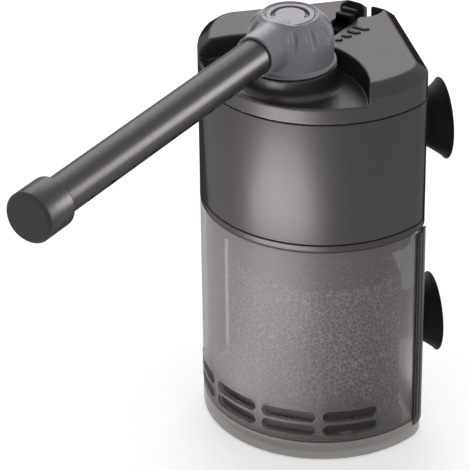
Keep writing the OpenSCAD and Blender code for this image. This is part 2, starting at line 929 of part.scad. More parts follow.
module knob_cap() {
    low = knob_z + knob_h - knob_cap_t;
    high = knob_z + knob_h - 0.25;
    color(knob_color) at_outlet() difference() {
        rod(knob_cap_r, low, high);
        translate([0, 0, high - 0.7]) rotate([0, 0, -40]) rotate_extrude(angle = 260)
            translate([4.5, 0]) square([1.7, 2]);
        translate([5.3, -3.6, high - 0.4]) rotate([0, 0, 30]) cube([1.5, 0.5, 1]);
    }
}

module outlet_o_ring() {
    color(rubber_color) at_outlet() translate([0, 0, ring_z])
        rotate_extrude() translate([riser_bore - ring_r - run_gap, 0]) circle(ring_r - run_gap, $fn = small_fn);
}

module spray_bar() {
    start = spout_len - socket_depth + move_gap;
    finish = bar_reach - 2.2 - move_gap;
    color(housing_color) difference() {
        along_bar() pipe(bar_r, bar_r - bar_wall, start, finish);
        for (i = [0 : hole_count - 1])
            translate([0, -outlet_y - hole_start - i * hole_pitch, axis_z])
                rotate([0, 90 + hole_tilt, 0]) rod(hole_r, 0, bar_r + 1);
    }
}

module spray_end_cap() {
    color(housing_color) along_bar() translate([0, 0, bar_reach]) rotate_extrude() polygon([
        [0, 0], [end_cap_r - 1.4, 0], [end_cap_r - 0.4, -0.4], [end_cap_r, -1.4],
        [end_cap_r, -end_cap_len + 0.5], [end_cap_r - 0.5, -end_cap_len],
        [bar_fit_r, -end_cap_len], [bar_fit_r, -2.2], [0, -2.2]
    ]);
}

// Flow control

module flow_lever() {
    color(housing_color) union() {
        block([-lever_half, lever_front, carriage_top - eps], [lever_half, lever_back, top_z + lever_rise]);
        block([-carriage_half, carriage_front, carriage_top - carriage_t],
            [carriage_half, carriage_back, carriage_top]);
        block([-1.2, carriage_front + 1, gate_z + gate_t],
            [1.2, carriage_back - 1, carriage_top - carriage_t + eps]);
    }
}

module flow_gate() {
    color(white_color) block([-gate_half, gate_front, gate_z], [gate_half, gate_back, gate_z + gate_t]);
}

// Suction cups

module cup_holder(side, d, z, wall, thick) {
    color(housing_color) on_flat(side, d, z) difference() {
        union() {
            cylinder(r = holder_r, h = thick);
            translate([0, 0, -wall - move_gap]) cylinder(r = holder_stub_r, h = wall + move_gap + eps);
        }
        translate([0, 0, thick - cup_stub_h - 0.1]) cylinder(r = cup_stub_r + run_gap, h = cup_stub_h + 1);
    }
}

module suction_cup(side, d, z) {
    rim = cup_depth;
    color(rubber_color) on_flat(side, d, z) rotate_extrude() polygon([
        [0, -cup_stub_h], [cup_stub_r, -cup_stub_h], [cup_stub_r, 0], [cup_neck_r, 0],
        [cup_neck_r + 0.2, 0.8], [cup_neck_r + 1.2, 2.6], [(cup_neck_r + cup_r) / 2 + 0.1, rim * 0.54],
        [cup_r - 1.2, rim - 1.5], [cup_r, rim - cup_lip], [cup_r, rim], [cup_r - cup_rim_w, rim],
        [cup_r * 0.68, rim - 1.5], [cup_r * 0.36, rim - 2.3], [0, rim - 2.6]
    ]);
}

base_cap();
canister();
corner_rail(-1);  // corner_rail_left
corner_rail(1);  // corner_rail_right
sponge_grid();
filter_sponge();
head_plate();
head_seal();
inlet_strainer();
motor_housing();
lid();
outlet_duct();
motor_case();
motor_cover();
stator_core();
coil_bobbins();
stator_coils();
rotor_shaft();
lower_bush();
upper_bush();
rotor_magnet();
impeller();
pump_screws();
cable_gland();
outlet_knob();
knob_cap();
outlet_o_ring();
spray_bar();
spray_end_cap();
flow_lever();
flow_gate();
cup_holder(-1, flat_d, cup_high_z, housing_wall, high_holder_t);  // cup_holder_upper_left
cup_holder(1, flat_d, cup_high_z, housing_wall, high_holder_t);  // cup_holder_upper_right
cup_holder(-1, flat_d - flat_recess, cup_low_z, canister_wall, low_holder_t);  // cup_holder_lower_left
cup_holder(1, flat_d - flat_recess, cup_low_z, canister_wall, low_holder_t);  // cup_holder_lower_right
suction_cup(-1, flat_d + high_holder_t, cup_high_z);  // suction_cup_upper_left
suction_cup(1, flat_d + high_holder_t, cup_high_z);  // suction_cup_upper_right
suction_cup(-1, flat_d - flat_recess + low_holder_t, cup_low_z);  // suction_cup_lower_left
suction_cup(1, flat_d - flat_recess + low_holder_t, cup_low_z);  // suction_cup_lower_right
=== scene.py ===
"""Looks of a corner canister filter for an aquarium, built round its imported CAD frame."""
import json
import math

import bmesh
import bpy
import numpy as np
from mathutils import Matrix, Vector

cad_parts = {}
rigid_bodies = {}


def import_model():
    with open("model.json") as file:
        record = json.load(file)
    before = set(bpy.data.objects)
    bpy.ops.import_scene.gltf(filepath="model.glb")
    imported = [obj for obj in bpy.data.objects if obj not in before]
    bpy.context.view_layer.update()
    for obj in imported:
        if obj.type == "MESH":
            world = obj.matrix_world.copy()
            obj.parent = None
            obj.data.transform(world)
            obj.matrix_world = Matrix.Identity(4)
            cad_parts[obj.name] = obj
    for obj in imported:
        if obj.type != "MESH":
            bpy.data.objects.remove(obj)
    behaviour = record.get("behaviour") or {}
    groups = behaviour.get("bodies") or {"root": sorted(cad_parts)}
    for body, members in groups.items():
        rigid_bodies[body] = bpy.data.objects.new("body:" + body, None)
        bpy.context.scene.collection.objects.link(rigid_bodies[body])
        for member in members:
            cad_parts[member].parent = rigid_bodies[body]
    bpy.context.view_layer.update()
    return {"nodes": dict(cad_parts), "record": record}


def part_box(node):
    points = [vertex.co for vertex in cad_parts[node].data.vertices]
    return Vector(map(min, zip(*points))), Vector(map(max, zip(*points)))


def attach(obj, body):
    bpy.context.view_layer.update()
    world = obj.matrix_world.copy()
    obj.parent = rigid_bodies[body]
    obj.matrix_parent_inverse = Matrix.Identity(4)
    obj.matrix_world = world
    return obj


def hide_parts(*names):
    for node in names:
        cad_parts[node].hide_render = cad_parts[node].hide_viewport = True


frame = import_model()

nodes = frame["nodes"]
MM = 0.001

# ---------------------------------------------------------------- sizes, in millimetres

# Plan of the body: a round front, two rear flats at right angles and a narrow back face
BODY_R = 46.0
FLAT_D = 31.6
BACK_D = 35.2
SHOULDER_R = 13.0
BACK_CORNER_R = 5.0
FLAT_RECESS = 3.3

# Levels, read from the frame; the head's plug reaches PLUG_H down into the canister
PLUG_H = 6.0
BASE_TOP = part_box("base_cap")[1].z / MM
CANISTER_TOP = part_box("head_plate")[0].z / MM + PLUG_H
HOUSING_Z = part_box("motor_housing")[0].z / MM
LID_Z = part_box("motor_housing")[1].z / MM
TOP_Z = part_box("lid")[1].z / MM

# Walls, base and the shadow groove at each seam
CANISTER_WALL = 2.0
HOUSING_WALL = 2.2
BASE_FLOOR = 2.4
BASE_CHAMFER = 0.5
COLLAR_PROUD = 0.04
SEAM_IN = 0.5
SEAM_H = 0.4
SEAM_EDGE_R = 0.25

# Lid
SLOPE_H = 3.5
CREASE_Z = TOP_Z - SLOPE_H
RIM_Z = LID_Z + 6.6
SLOPE_W = 4.4
RECESS_Y = -44.8
RECESS_R = 39.4
DISH_DEPTH = 1.9
DISH_FROM = 0.8
DISH_TO = 4.2
BOSS_R = 17.0
OUTLET_Y = -22.9
KNOB_Z = TOP_Z - 0.2
BOSS_GAP = 0.3
NOTCH_Y = 27.8
NOTCH_R = 7.9
NOTCH_BACK = 30.9
NOTCH_FLOOR = LID_Z + 2.0
SLOT_HALF = 3.4
SLOT_FRONT = 0.9
SLOT_FLOOR = TOP_Z - 4.4
SLIT_HALF = 1.5
RISER_HOLE_R = 9.15
LID_WALL = 2.0

# Radii of the lid's edges and fillets
CREASE_EDGE = 0.45
TOP_EDGE = 0.6
DISH_FILLET = 0.8
RECESS_EDGE = 0.9
BOSS_FILLET = 3.0
SLIT_EDGE = 1.6
FINE_EDGE = 0.5

# Outlet
KNOB_R = 15.7
KNOB_FLANGE_R = 16.6
DOME_R = 9.0
KNOB_STRAIGHT = 8.4
KNOB_H = 18.3
KNOB_RISE = 9.6
RING_R = 10.1
SPOUT_Z = 11.2
SPOUT_R = 7.75
SPOUT_LEN = 23.9
SOCKET_R = 6.85
SOCKET_DEPTH = 9.6
FLUTES = 11
FLUTE_FREE = 72.0
FLUTE_THETA = 38.0
FLUTE_R = 1.7
FLUTE_CUT = 1.0
RING_WIRE_R = 0.5
FLUTE_EDGE = 0.3
POCKET_EDGE = 0.2
SPOUT_BLEND = 2.2
SPOUT_TAPER = 0.3
SPOUT_END_Y = 4.5
SPOUT_END_BLEND = 2.5
FLANGE_H = 1.0
STEM_R = 6.6
STEM_LEN = 12.5
CAP_R = 8.8
CAP_SUNK = 0.15
CAP_T = 1.25
CAP_PLAY = 0.1
POCKET_DEPTH = 1.3
ARC_R = 6.2
ARC_HALF_W = 0.75
ARC_DEPTH = 1.1
ARC_MID = 115
ARC_REACH = 112
END_CAP_R = 9.0
END_CAP_LEN = 13.8
END_CAP_FACE_T = 2.2
END_CAP_BORE_R = 6.85
BAR_REACH = 157.5
BAR_Z = KNOB_Z + SPOUT_Z

# Intake slots
SLOT_H = 4.8
SLOT_WEB = 1.2
SLOT_MID_Z = 16.2
SLOT_PITCH = 30.0
SLOT_SPAN = 27.4
SLOT_STRAIGHT = (BODY_R - CANISTER_WALL / 2) * math.sin(math.radians(SLOT_SPAN / 2)) - SLOT_H / 2
BEAD_R = 0.28
# Dark sheets behind the intake slots are painted shade: their gap behind the wall and their thickness
SHADE_SHEET_GAP = 0.15
SHADE_SHEET_T = 0.5

# Suction cups
CUP_R = 15.3
CUP_DEPTH = 9.7
CUP_NECK_R = 8.7
CUP_SHIFT = 9.7
CUP_HIGH_Z = 121.5
CUP_LOW_Z = 38.0
HIGH_HOLDER_T = 2.0
LOW_HOLDER_T = 3.5

# Flow marks and lever
MARKS = 4
MARK_X = 5.9
MARK_Y = 11.6
MARK_PITCH = 4.2
MARK_LEN = 5.1
MARK_SHORTER = 1.25
MARK_W = 1.05
MARK_SUNK = 0.3
MARK_PROUD = 0.35
LEVER_FRONT = 13.8
LEVER_BACK = 19.3
LEVER_PLAY = 0.25
CARRIAGE_T = 1.8
CARRIAGE_BACK = 18.0
TONGUE_HALF = 1.2
TONGUE_BACK = 17.0


# ---------------------------------------------------------------- camera, light and floor

CAMERA_AT = (473.79, -787.39, 606.14)
CAMERA_AZIMUTH = 33.1
CAMERA_DOWN = 30.18
CAMERA_ROLL = -0.752
CAMERA_LENS = 214.66
SENSOR = 36.0


def make_camera():
    data = bpy.data.cameras.new("camera")
    data.lens = CAMERA_LENS
    data.sensor_width = SENSOR
    data.clip_start = 0.01
    cam = bpy.data.objects.new("camera", data)
    bpy.context.scene.collection.objects.link(cam)
    turn = (
        Matrix.Rotation(math.radians(CAMERA_AZIMUTH), 4, "Z")
        @ Matrix.Rotation(math.radians(90 - CAMERA_DOWN), 4, "X")
        @ Matrix.Rotation(math.radians(CAMERA_ROLL), 4, "Z")
    )
    cam.matrix_world = Matrix.Translation(Vector(CAMERA_AT) * MM) @ turn
    bpy.context.scene.camera = cam


# The photo's highlights are a little violet
LAMP_TINT = (1.0, 0.945, 1.01)
CARD_Z = 0.006


def area_light(name, azimuth, elevation, distance, size, power, target=(0, -10, 90), size_y=None):
    """A soft box at an azimuth from the front (towards +X) and an elevation, aimed at target (mm)."""
    data = bpy.data.lights.new(name, "AREA")
    data.shape = "RECTANGLE"
    data.size = size
    data.size_y = size_y or size
    data.energy = power
    data.color = LAMP_TINT
    lamp = bpy.data.objects.new(name, data)
    lamp.visible_camera = False
    bpy.context.scene.collection.objects.link(lamp)
    a, e = math.radians(azimuth), math.radians(elevation)
    away = Vector((math.sin(a) * math.cos(e), -math.cos(a) * math.cos(e), math.sin(e)))
    place = Vector(target) * MM + away * distance
    lamp.matrix_world = Matrix.Translation(place) @ away.to_track_quat("Z", "Y").to_matrix().to_4x4()
    return lamp


def floor_card(name, place, size, power, turn=0.0):
    """A bright card that lies on the floor and shines upwards."""
    card = area_light(name, 0, 0, 0.5, size[0], power, size_y=size[1])
    spin = Matrix.Rotation(math.radians(turn), 4, "Z")
    face_up = Matrix.Rotation(math.pi, 4, "X")
    card.matrix_world = Matrix.Translation((*place, CARD_Z)) @ spin @ face_up
    return card


def light_only(lamp, names):
    """Keep a lamp's light to the pieces whose names start with one of names, as a studio's flag does."""
    lit = bpy.data.collections.new(f"lit_by_{lamp.name}")
    for obj in bpy.data.objects:
        if obj.type == "MESH" and obj.name.startswith(names):
            lit.objects.link(obj)
    lamp.light_linking.receiver_collection = lit


def make_lamps():
    """Soft boxes behind and beside, and cards on the floor that the walls mirror."""
    area_light("back", 213, 30, 1.2, 0.8, 6.5)
    light_only(area_light("fill", 33, 40, 1.1, 0.5, 1.5), ("lid",))
    light_only(area_light("side", 138, 9, 1.0, 0.25, 8.0, size_y=0.45), ("spray_bar", "end_cap"))
    light_only(area_light("knob_side", 95, 30, 0.9, 0.25, 1.8), ("outlet", "knob"))
    front = floor_card("front_card", (-0.012, -0.27), (0.2, 0.25), 2.05)
    light_only(front, ("housing", "collar", "lid", "canister", "base", "slot"))
    near = floor_card("near_card", (-0.01, -0.1), (0.09, 0.09), 0.1)
    light_only(near, ("canister", "base", "slot"))
    right = floor_card("right_card", (0.094, 0.066), (0.03, 0.13), 0.2, -37)
    light_only(right, ("canister", "base"))


def background_switch(tree):
    """1 for camera, glossy and transmission rays, which see the plain white background."""
    path = tree.nodes.new("ShaderNodeLightPath")
    total = path.outputs["Is Camera Ray"]
    for ray in ("Is Glossy Ray", "Is Transmission Ray"):
        either = tree.nodes.new("ShaderNodeMath")
        either.operation = "MAXIMUM"
        tree.links.new(total, either.inputs[0])
        tree.links.new(path.outputs[ray], either.inputs[1])
        total = either.outputs[0]
    return total


WORLD_LIGHT = 0.65


def make_world():
    world = bpy.data.worlds.new("world")
    bpy.context.scene.world = world
    world.use_nodes = True
    tree = world.node_tree
    back = tree.nodes["Background"]
    back.inputs["Color"].default_value = (1, 1, 1, 1)
    level = tree.nodes.new("ShaderNodeMapRange")
    level.inputs["To Min"].default_value = WORLD_LIGHT
    level.inputs["To Max"].default_value = 1.0
    tree.links.new(background_switch(tree), level.inputs["Value"])
    tree.links.new(level.outputs["Result"], back.inputs["Strength"])


FLOOR_SIZE = 6.0
FLOOR_Z = -0.0002
FLOOR_GREY = 0.8
FLOOR_GLOW = 0.41


def make_floor():
    """A pale floor that goes over into the white background and keeps the object's shadow."""
    bpy.ops.mesh.primitive_plane_add(size=FLOOR_SIZE, location=(0, 0, FLOOR_Z))
    floor = bpy.context.object
    floor.name = "floor"
    mat = bpy.data.materials.new("floor_white")
    mat.use_nodes = True
    tree = mat.node_tree
    shader = tree.nodes["Principled BSDF"]
    shader.inputs["Base Color"].default_value = (FLOOR_GREY, FLOOR_GREY, FLOOR_GREY, 1)
    shader.inputs["Roughness"].default_value = 1.0
    shader.inputs["Specular IOR Level"].default_value = 0.0
    glow = tree.nodes.new("ShaderNodeEmission")
    glow.inputs["Color"].default_value = (1, 1, 1, 1)
    add = tree.nodes.new("ShaderNodeAddShader")
    scale = tree.nodes.new("ShaderNodeMath")
    scale.operation = "MULTIPLY"
    scale.inputs[1].default_value = FLOOR_GLOW
    tree.links.new(background_switch(tree), scale.inputs[0])
    tree.links.new(scale.outputs[0], glow.inputs["Strength"])
    tree.links.new(shader.outputs[0], add.inputs[0])
    tree.links.new(glow.outputs[0], add.inputs[1])
    tree.links.new(add.outputs[0], tree.nodes["Material Output"].inputs["Surface"])
    floor.data.materials.append(mat)


# ---------------------------------------------------------------- materials


ROUGHNESS_SPREAD = 0.04
EDGE_ON = (0.3, 0.75)
SMOKY_SPECULAR = 0.38
WEB_SCALE = 520.0
WEB_WIDTH = (0.025, 0.11)
SPECK_SCALE = 700.0
# Foam colours: the webs' near-white is partly painted glint on the struts, and the pores' dark is
# painted shade inside the holes
WEB_GLINT_COLOR = (252, 251, 246)
PORE_SHADE_COLOR = (52, 50, 47)


def srgb(*values):
    """Linear colour of an 0-255 sRGB colour."""
    out = []
    for v in values:
        c = v / 255
        out.append(c / 12.92 if c <= 0.04045 else ((c + 0.055) / 1.055) ** 2.4)
    return (*out, 1.0)


def link(tree, a, b):
    tree.links.new(a, b)


def noise(tree, coords, scale, detail=2.0):
    tex = tree.nodes.new("ShaderNodeTexNoise")
    tex.inputs["Scale"].default_value = scale
    tex.inputs["Detail"].default_value = detail
    link(tree, coords, tex.inputs["Vector"])
    return tex.outputs["Fac"]


def blend_colors(tree, fac, a, b):
    mix = tree.nodes.new("ShaderNodeMix")
    mix.data_type = "RGBA"
    mix.inputs["A"].default_value = a
    mix.inputs["B"].default_value = b
    link(tree, fac, mix.inputs["Factor"])
    return mix.outputs["Result"]


def map_range(tree, value, low, high, from_low=0.0, from_high=1.0):
    node = tree.nodes.new("ShaderNodeMapRange")
    node.inputs["From Min"].default_value = from_low
    node.inputs["From Max"].default_value = from_high
    node.inputs["To Min"].default_value = low
    node.inputs["To Max"].default_value = high
    link(tree, value, node.inputs["Value"])
    return node.outputs["Result"]


def moulded(name, color, roughness, spread=0.06, grain=1500.0, grain_depth=0.00001, specular=0.5,
            metallic=0.0, cloud=60.0, edge_specular=None):
    """A moulded surface: faint colour clouds, a fine grain and a roughness that varies a little."""
    mat = bpy.data.materials.new(name)
    mat.use_nodes = True
    tree = mat.node_tree
    shader = tree.nodes["Principled BSDF"]
    shader.inputs["Metallic"].default_value = metallic
    shader.inputs["Specular IOR Level"].default_value = specular
    coords = tree.nodes.new("ShaderNodeTexCoord").outputs["Object"]
    cloudy = noise(tree, coords, cloud, 3.0)
    dark = tuple(c * (1 - spread) for c in color[:3]) + (1.0,)
    light = tuple(c * (1 + spread) for c in color[:3]) + (1.0,)
    link(tree, blend_colors(tree, cloudy, dark, light), shader.inputs["Base Color"])
    fine = noise(tree, coords, grain)
    uneven = map_range(tree, fine, roughness - ROUGHNESS_SPREAD, roughness + ROUGHNESS_SPREAD)
    link(tree, uneven, shader.inputs["Roughness"])
    bump = tree.nodes.new("ShaderNodeBump")
    bump.inputs["Strength"].default_value = 1.0
    bump.inputs["Distance"].default_value = grain_depth
    link(tree, fine, bump.inputs["Height"])
    link(tree, bump.outputs["Normal"], shader.inputs["Normal"])
    if edge_specular is not None:
        facing = tree.nodes.new("ShaderNodeLayerWeight")
        level = map_range(tree, facing.outputs["Facing"], specular, edge_specular, *EDGE_ON)
        link(tree, level, shader.inputs["Specular IOR Level"])
    return mat


def smoky(name, color, face_alpha, edge_alpha, roughness):
    """A smoky clear moulding: it hides more where it is seen edge-on, and its gloss is even."""
    mat = moulded(name, color, roughness, 0.03, 300.0, 0.000004, specular=SMOKY_SPECULAR)
    tree = mat.node_tree
    shader = tree.nodes["Principled BSDF"]
    facing = tree.nodes.new("ShaderNodeLayerWeight")
    facing.inputs["Blend"].default_value = 0.35
    alpha = map_range(tree, facing.outputs["Facing"], face_alpha, edge_alpha)
    link(tree, alpha, shader.inputs["Alpha"])
    return mat


def foam(name):
    """Open-pored foam: light webs, partly painted glint, between pores darkened as painted shade."""
    mat = bpy.data.materials.new(name)
    mat.use_nodes = True
    tree = mat.node_tree
    shader = tree.nodes["Principled BSDF"]
    shader.inputs["Roughness"].default_value = 0.75
    shader.inputs["Specular IOR Level"].default_value = 0.3
    coords = tree.nodes.new("ShaderNodeTexCoord").outputs["Object"]
    cells = tree.nodes.new("ShaderNodeTexVoronoi")
    cells.feature = "DISTANCE_TO_EDGE"
    cells.inputs["Scale"].default_value = WEB_SCALE
    link(tree, coords, cells.inputs["Vector"])
    speck = map_range(tree, noise(tree, coords, SPECK_SCALE), -0.25, 0.25, -0.1, 0.45)
    depth = map_range(tree, cells.outputs["Distance"], 0.0, 1.0, *WEB_WIDTH)
    add = tree.nodes.new("ShaderNodeMath")
    add.operation = "ADD"
    add.use_clamp = True
    link(tree, depth, add.inputs[0])
    link(tree, speck, add.inputs[1])
    # From web to pore by the distance to the cell edges: painted glint on the webs, painted shade in the
    # pores
    color = blend_colors(tree, add.outputs[0], srgb(*WEB_GLINT_COLOR), srgb(*PORE_SHADE_COLOR))
    link(tree, color, shader.inputs["Base Color"])
    return mat


MATERIALS = {
    "housing_plastic": moulded("housing_plastic", srgb(42, 39, 38), 0.38, specular=0.4,
                               edge_specular=0.0),
    "rail_plastic": moulded("rail_plastic", srgb(48, 45, 43), 0.45, specular=0.25),
    "tube_plastic": moulded("tube_plastic", srgb(36, 34, 33), 0.36, specular=0.42,
                            edge_specular=0.03),
    "knob_plastic": moulded("knob_plastic", srgb(106, 105, 110), 0.38, 0.04, specular=0.45),
    "lever_plastic": moulded("lever_plastic", srgb(24, 22, 21), 0.6, specular=0.1),
    "cup_rubber": moulded("cup_rubber", srgb(24, 22, 20), 0.6, specular=0.25),
    "seal_rubber": moulded("seal_rubber", srgb(30, 30, 30), 0.6),
    "smoky_clear": smoky("smoky_clear", srgb(112, 108, 105), 0.25, 0.85, 0.38),
    # The base's smoky plastic is a lighter copy of the canister's: painted light
    "smoky_base_lit": smoky("smoky_base_lit", srgb(176, 172, 167), 0.5, 0.85, 0.35),
    "sponge_foam": foam("sponge_foam"),
    "white_plastic": moulded("white_plastic", srgb(222, 222, 214), 0.45),
    "core_steel": moulded("core_steel", srgb(170, 170, 174), 0.35, metallic=1.0),
    "coil_copper": moulded("coil_copper", srgb(190, 104, 62), 0.3, metallic=1.0),
    "shaft_ceramic": moulded("shaft_ceramic", srgb(236, 234, 226), 0.15),
    "magnet_ferrite": moulded("magnet_ferrite", srgb(52, 52, 54), 0.4),
    "screw_steel": moulded("screw_steel", srgb(190, 190, 194), 0.25, metallic=1.0),
}


def dress(obj, slot):
    obj.data.materials.clear()
    obj.data.materials.append(MATERIALS[slot])


def dress_frame():
    """Every CAD node takes the material of its own slot in the record."""
    for row in frame["record"]["subparts"]:
        obj = nodes[row["node"]]
        for i in range(len(obj.material_slots)):
            obj.material_slots[i].material = MATERIALS[row["material_slot"]]
        if not obj.material_slots:
            obj.data.materials.append(MATERIALS[row["material_slot"]])


# ---------------------------------------------------------------- mesh helpers


def new_piece(name, verts, faces, slot, body, replaces=(), smooth_angle=35.0):
    """A mesh from points in millimetres, with its slot's material, riding on its body."""
    mesh = bpy.data.meshes.new(name)
    mesh.from_pydata((np.asarray(verts, float) * MM).tolist(), [], [list(map(int, f)) for f in faces])
    mesh.validate()
    obj = bpy.data.objects.new(name, mesh)
    bpy.context.scene.collection.objects.link(obj)
    mesh.polygons.foreach_set("use_smooth", [True] * len(mesh.polygons))
    if smooth_angle < 180:
        mesh.set_sharp_from_angle(angle=math.radians(smooth_angle))
    dress(obj, slot)
    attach(obj, body)
    for node in replaces:
        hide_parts(node)
    return obj


def heading(degrees):
    """Unit vector at an angle from the front (-Y) towards +X."""
    a = np.radians(degrees)
    return np.stack([np.sin(a), -np.cos(a)], -1)


SHOULDER_AT = 135 - math.degrees(math.acos((FLAT_D - SHOULDER_R) / (BODY_R - SHOULDER_R)))
ARC_STEP = 1.5


def outline(inset, flat_in=0.0):
    """The body's plan moved inwards, the flats by flat_in more. The number of points never varies."""
    r, d, b = BODY_R - inset, FLAT_D - inset - flat_in, BACK_D - inset - flat_in
    s = max(SHOULDER_R - inset, 1.5)
    k = max(BACK_CORNER_R - inset, 0.6)
    a = 135 - math.degrees(math.acos((d - s) / (r - s)))
    n1 = math.ceil(SHOULDER_AT / ARC_STEP)
    corner = (r - s) * heading(a)
    back = np.array([(d - k) * math.sqrt(2) - (b - k), b - k])
    half = np.concatenate([
        r * heading(np.linspace(0, a, n1)),
        corner + s * heading(np.linspace(a, 135, 20))[1:],
        back + k * heading(np.linspace(135, 180, 12)),
    ])
    other = half[::-1][:-1] * [-1, 1]
    return np.concatenate([half, other])


def rounded(profile, radii, steps=5):
    """A closed profile of (inset, z) points with its corners rounded by arcs."""
    out = []
    n = len(profile)
    for i, radius in enumerate(radii):
        p = np.array(profile[i], float)
        a = np.array(profile[i - 1], float) - p
        b = np.array(profile[(i + 1) % n], float) - p
        if radius <= 0:
            out.append(tuple(p))
            continue
        a, b = a / np.linalg.norm(a), b / np.linalg.norm(b)
        half = math.acos(np.clip(a @ b, -1, 1)) / 2
        reach = radius / math.tan(half)
        centre = p + (a + b) / np.linalg.norm(a + b) * radius / math.sin(half)
        start, end = p + a * reach - centre, p + b * reach - centre
        turn = math.acos(np.clip(start @ end / radius**2, -1, 1))
        for t in np.linspace(0, 1, steps):
            w = (math.sin((1 - t) * turn) * start + math.sin(t * turn) * end) / math.sin(turn)
            out.append(tuple(centre + w))
    return out


def at_height(plan, z):
    """Plan points as points at one height."""
    return np.c_[plan, np.full(len(plan), z)]


def ring_faces(count, rings, closed=True):
    """Quads between rings of count points; where closed, the last ring joins the first."""
    return [
        (r * count + i, r * count + (i + 1) % count,
         (r + 1) % rings * count + (i + 1) % count, (r + 1) % rings * count + i)
        for r in range(rings if closed else rings - 1) for i in range(count)
    ]


def prism_faces(n):
    """Sides and two ends between two loops of n points."""
    ends = [tuple(range(n - 1, -1, -1)), tuple(range(n, 2 * n))]
    return ring_faces(n, 2, closed=False) + ends


def loft(profile):
    """Vertices and faces of a closed profile of (inset, z) points carried round the body's plan."""
    rings = [at_height(outline(inset), z) for inset, z in profile]
    return np.concatenate(rings), ring_faces(len(rings[0]), len(rings))


def lathe(profile, centre, axis, up=(0, 0, 1), segments=96, closed=False):
    """Vertices and faces of (radius, height) points turned about axis, with height along axis."""
    axis, up = Vector(axis).normalized(), Vector(up)
    side = up.cross(axis).normalized() if abs(up.dot(axis)) < 0.99 else Vector((1, 0, 0))
    other = axis.cross(side)
    verts, faces, rings = [], [], []
    for r, h in profile:
        foot = Vector(centre) + axis * h
        if r < 1e-6:
            rings.append([len(verts)])
            verts.append(foot)
            continue
        rings.append(list(range(len(verts), len(verts) + segments)))
        for i in range(segments):
            t = 2 * math.pi * i / segments
            verts.append(foot + side * (r * math.cos(t)) + other * (r * math.sin(t)))
    pairs = list(zip(rings, rings[1:]))
    if closed:
        pairs.append((rings[-1], rings[0]))
    for a, b in pairs:
        for i in range(segments):
            j = (i + 1) % segments
            if len(a) == 1:
                faces.append((a[0], b[j], b[i]))
            elif len(b) == 1:
                faces.append((a[i], a[j], b[0]))
            else:
                faces.append((a[i], a[j], b[j], b[i]))
    return [tuple(v) for v in verts], faces


def joined(*parts):
    """One list of vertices and faces out of several."""
    verts, faces = [], []
    for v, f in parts:
        base = len(verts)
        verts.extend(map(tuple, v))
        faces.extend(tuple(i + base for i in face) for face in f)
    return verts, faces


def smooth_max(a, b, k):
    h = np.maximum(k - np.abs(a - b), 0) / k
    return np.maximum(a, b) + h * h * k / 4


def smooth_min(a, b, k):
    return -smooth_max(-a, -b, k)


def isosurface(field, low, high, step):
    """Vertices and faces round the space where field(x, y, z) is negative: surface nets, settled."""
    axes = [np.arange(a - step, b + 2 * step, step) for a, b in zip(low, high)]
    inside = field(*np.meshgrid(*axes, indexing="ij")) < 0
    n = np.array(inside.shape) - 1
    count = sum(
        inside[i:n[0] + i, j:n[1] + j, k:n[2] + k].astype(np.int8)
        for i in (0, 1) for j in (0, 1) for k in (0, 1)
    )
    mixed = (count > 0) & (count < 8)
    index = np.full(mixed.shape, -1, np.int64)
    index[mixed] = np.arange(mixed.sum())
    cells = np.argwhere(mixed)
    start = np.stack([axes[a][cells[:, a]] + step / 2 for a in range(3)], 1)
    points = start.copy()
    small = step * 0.1
    for _ in range(4):
        slope = np.stack([
            (field(*(points + e).T) - field(*(points - e).T)) / (2 * small) for e in np.eye(3) * small
        ], 1)
        size = np.maximum((slope * slope).sum(1), 0.1)
        points = points - slope * (field(*points.T) / size)[:, None]
        points = start + np.clip(points - start, -0.75 * step, 0.75 * step)
    faces = []
    for axis in range(3):
        u, v = (axis + 1) % 3, (axis + 2) % 3
        first = [slice(1, -1)] * 3
        second = [slice(1, -1)] * 3
        first[axis], second[axis] = slice(0, -1), slice(1, None)
        a, b = inside[tuple(first)], inside[tuple(second)]
        for crossing, flip in ((a & ~b, False), (b & ~a, True)):
            at = np.argwhere(crossing)
            at[:, u] += 1
            at[:, v] += 1
            quad = []
            for du, dv in ((-1, -1), (0, -1), (0, 0), (-1, 0)):
                c = at.copy()
                c[:, u] += du
                c[:, v] += dv
                quad.append(index[c[:, 0], c[:, 1], c[:, 2]])
            quad = np.stack(quad, 1)
            faces.append(quad[:, ::-1] if flip else quad)
    return points, np.concatenate(faces)


# ---------------------------------------------------------------- shells of the body


def plan_depth(x, y):
    """How far a point lies inside the body's plan, negative outside."""
    x = np.abs(x)
    depth = np.minimum(BODY_R - np.hypot(x, y), FLAT_D - (x + y) / math.sqrt(2))
    depth = np.minimum(depth, BACK_D - y)
    s, k = SHOULDER_R, BACK_CORNER_R
    corners = [
        ((BODY_R - s) * heading(SHOULDER_AT), s, SHOULDER_AT, 135),
        (np.array([(FLAT_D - k) * math.sqrt(2) - (BACK_D - k), BACK_D - k]), k, 135, 180),
    ]
    for centre, radius, a0, a1 in corners:
        vx, vy = x - centre[0], y - centre[1]
        h0, h1 = heading(a0), heading(a1)
        in_cone = (h0[0] * vy - h0[1] * vx >= 0) & (vx * h1[1] - vy * h1[0] >= 0)
        depth = np.where(in_cone, radius - np.hypot(vx, vy), depth)
    return depth


def smoothstep(x, a, b):
    t = np.clip((x - a) / (b - a), 0, 1)
    return t * t * (3 - 2 * t)


